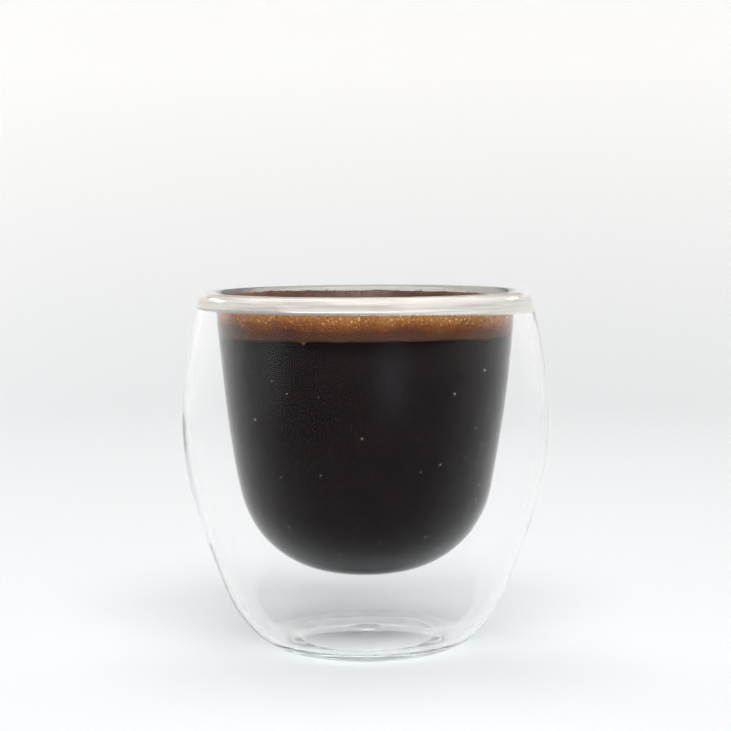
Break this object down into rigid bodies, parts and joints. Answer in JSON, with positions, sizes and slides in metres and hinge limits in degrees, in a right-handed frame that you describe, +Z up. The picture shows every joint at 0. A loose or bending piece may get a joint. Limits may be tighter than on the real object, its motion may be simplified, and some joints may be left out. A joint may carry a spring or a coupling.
{
  "type": "turkish coffee in a double-walled glass",
  "caption": "Small double-walled glass filled with dark coffee under a thick brown foam; the clear outer shell and inner bowl are fused at the lip with air sealed between them.",
  "frame": {"origin": "middle of the foot, on the surface that the glass stands on", "axes": "+Z up along the axis of the glass; the glass is round, so +X and +Y are alike"},
  "size_m": [0.0662, 0.0662, 0.0645],
  "materials": {
    "glass": "clear, colourless blown glass, fire polished",
    "coffee": "very dark brown liquid, almost opaque",
    "foam": "fine-bubbled brown foam, lighter at the top"
  },
  "bodies": {
    "root": {"glass": "glass", "coffee": "coffee", "foam": "foam"}
  },
  "joints": []
}
